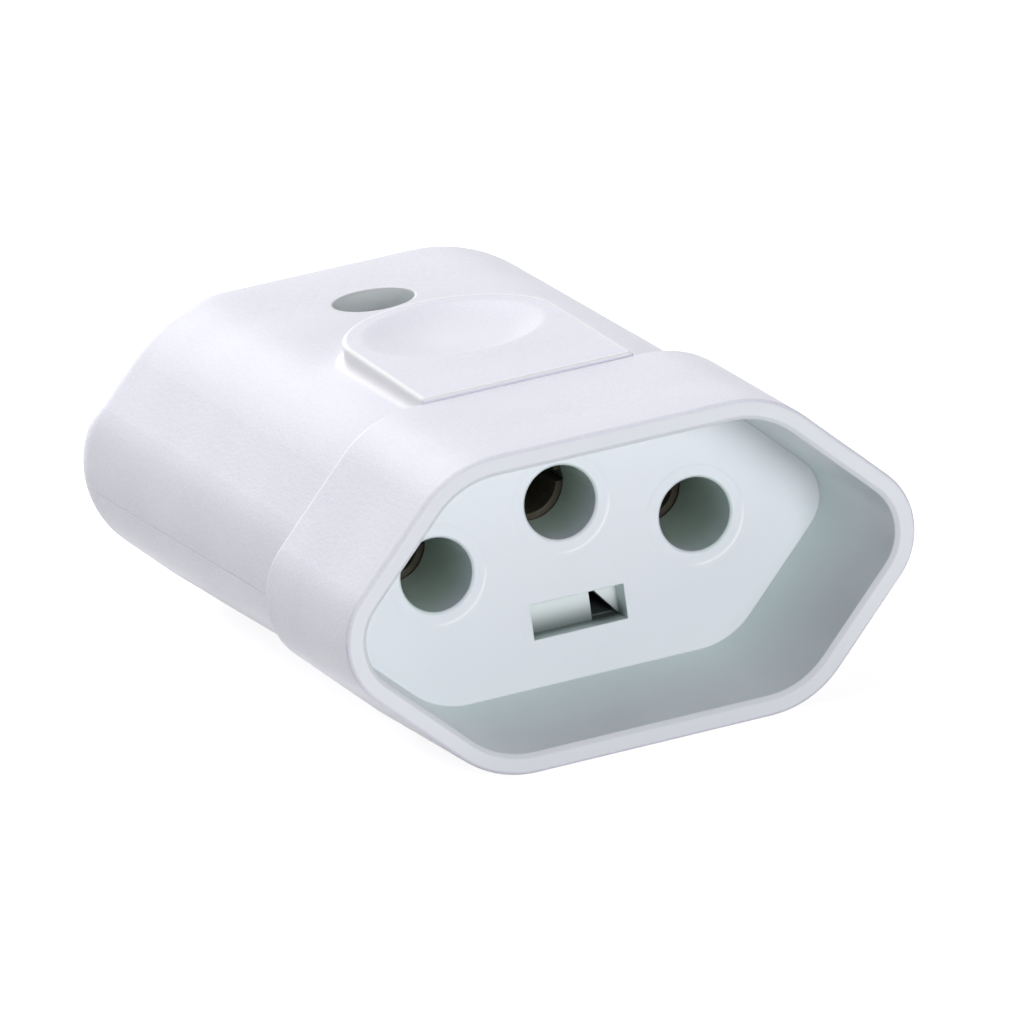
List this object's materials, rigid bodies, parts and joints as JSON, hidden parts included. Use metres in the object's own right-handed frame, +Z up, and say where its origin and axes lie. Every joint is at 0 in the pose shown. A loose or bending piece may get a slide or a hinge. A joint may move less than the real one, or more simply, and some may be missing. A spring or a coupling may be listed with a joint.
{
  "type": "in-line power socket",
  "caption": "White moulded in-line mains socket for round pins: hexagonal plug recess with latch slot, two screwed half shells with a thumb pad, and spring contacts with screw terminals inside.",
  "frame": {"origin": "middle of the part's length and width, on the surface that its underside lies on", "axes": "+X to the right seen from the plug side, -Y out of the plug recess, +Y to the cord's inlet, +Z up through the thumb pad"},
  "size_m": [0.0418, 0.0636, 0.0236],
  "materials": {
    "face_plastic": "smooth moulded face, satin outer sides",
    "shell_plastic": "fine spark-eroded satin texture",
    "contact_brass": "pressed, dulled with age",
    "screw_steel": "bright zinc",
    "clamp_plastic": "plain moulded"
  },
  "bodies": {
    "root": {"front_moulding": "face_plastic", "upper_shell": "shell_plastic", "lower_shell": "shell_plastic", "live_contact": "contact_brass", "neutral_contact": "contact_brass", "earth_contact": "contact_brass", "live_terminal": "contact_brass", "neutral_terminal": "contact_brass", "earth_terminal": "contact_brass", "terminal_screws": "screw_steel", "closing_screw": "screw_steel", "cord_clamp": "clamp_plastic", "cord_clamp_screws": "screw_steel"}
  },
  "joints": []
}
